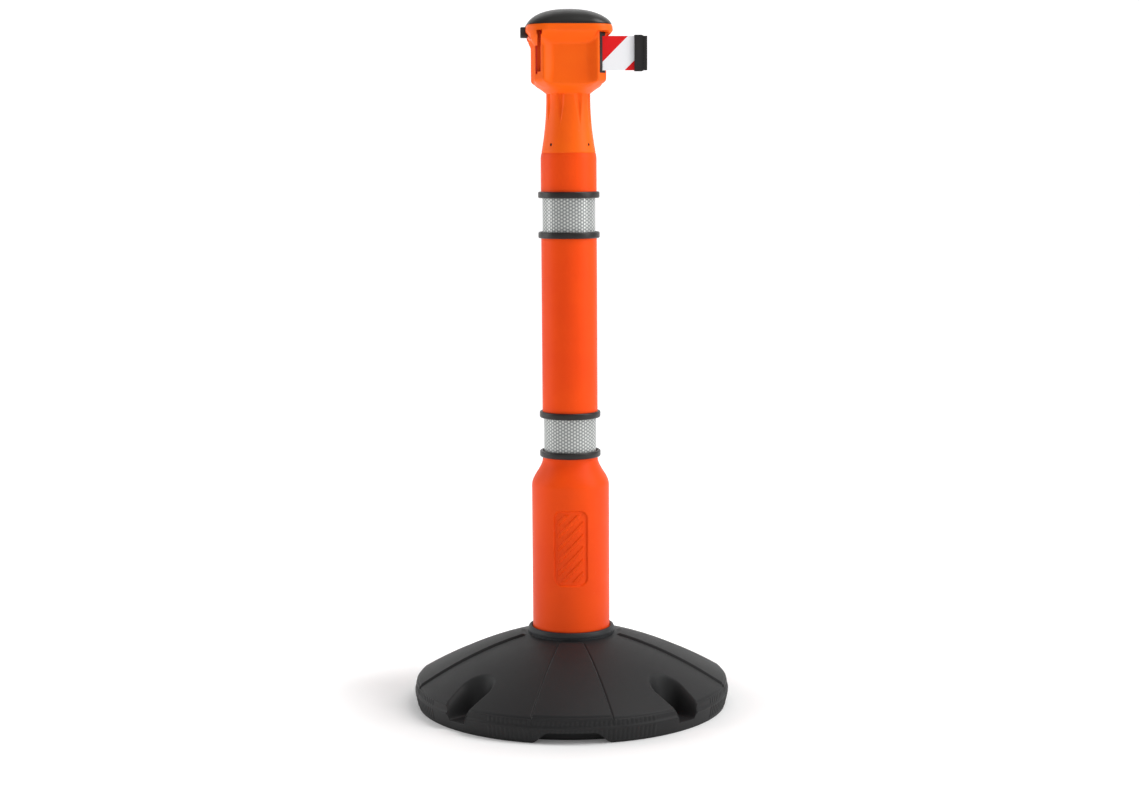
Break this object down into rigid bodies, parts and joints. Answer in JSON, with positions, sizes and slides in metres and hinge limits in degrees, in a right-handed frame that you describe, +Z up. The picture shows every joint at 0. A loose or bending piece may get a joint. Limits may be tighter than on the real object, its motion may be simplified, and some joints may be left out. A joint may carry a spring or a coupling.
{
  "type": "retractable tape barrier post",
  "caption": "Free-standing barrier post with weighted base, four-way head, three receiver slots and a sprung tape that pulls out from the head.",
  "frame": {"origin": "on the floor under the middle of the base, on the post's axis", "axes": "+Z up along the post; the head's front faces -Y and its tape leaves toward +X"},
  "size_m": [0.484, 0.484, 1.0535],
  "materials": {
    "base_rubber": "satin, moulded",
    "black_plastic": "satin",
    "ring_rubber": "satin",
    "orange_plastic": "satin, coloured through",
    "reflective": "honeycomb reflective film",
    "steel": "zinc plated",
    "spring_steel": "bright",
    "nylon": "natural nylon",
    "red_plastic": "satin",
    "bronze": "sintered",
    "tape": "woven, red and white diagonal stripes"
  },
  "bodies": {
    "base": {"base_body": "base_rubber", "base_socket": "black_plastic", "socket_plate": "steel", "socket_screws": "steel"},
    "post": {"post_body": "orange_plastic", "ring_lower_bottom": "ring_rubber", "ring_lower_top": "ring_rubber", "ring_upper_bottom": "ring_rubber", "ring_upper_top": "ring_rubber", "reflective_band_lower": "reflective", "reflective_band_upper": "reflective", "neck_plug": "black_plastic", "neck_screws": "steel", "head_shell": "orange_plastic", "receiver_front_left": "red_plastic", "receiver_back_left": "red_plastic", "receiver_back_right": "red_plastic", "exit_bezel": "black_plastic", "cassette_base": "nylon", "cassette_cover": "nylon", "cassette_screws": "steel", "spindle": "steel", "mainspring": "spring_steel", "roller_pin": "steel", "tape_lead": "tape"},
    "drum_spool": {"drum": "nylon", "drum_bushes": "bronze", "tape_coil": "tape"},
    "roller": {"exit_roller": "nylon"},
    "tape_end": {"tape_clip": "black_plastic", "clip_cover": "black_plastic", "clip_rivets": "steel", "tape_strip": "tape"},
    "brake": {"brake_button": "black_plastic", "brake_plunger": "steel", "brake_shoe": "red_plastic", "brake_spring": "spring_steel", "plunger_circlip": "spring_steel"},
    "lid": {"lid": "black_plastic"}
  },
  "joints": [
    {"name": "post_twist", "type": "hinge", "parent": "base", "child": "post", "pos_m": [0, 0, 0.1], "axis": [0, 0, 1], "range_deg": [-30, 0]},
    {"name": "lid_lift", "type": "slide", "parent": "post", "child": "lid", "axis": [0, 0, 1], "range_m": [0, 0.08]},
    {"name": "tape_pull", "type": "slide", "parent": "post", "child": "tape_end", "axis": [1, 0, 0], "range_m": [-0.037, 2.963], "deforming": ["tape_strip"]},
    {"name": "drum_spin", "type": "hinge", "parent": "post", "child": "drum_spool", "pos_m": [0, 0, 0.98], "axis": [0, 0, 1], "range_deg": [-75, 5700]},
    {"name": "roller_spin", "type": "hinge", "parent": "post", "child": "roller", "pos_m": [0.04157, -0.0432, 0.98], "axis": [0, 0, 1], "range_deg": [-750, 57000]},
    {"name": "brake_press", "type": "slide", "parent": "post", "child": "brake", "axis": [1, 0, 0], "range_m": [0, 0.0035], "stiffness_N_per_m": 400, "springref_m": -0.004, "deforming": ["brake_spring"]}
  ],
  "couplings": [
    {"joint": "drum_spin", "follows": "tape_pull", "rad_per_m": 33.333},
    {"joint": "roller_spin", "follows": "tape_pull", "rad_per_m": 333.33}
  ]
}
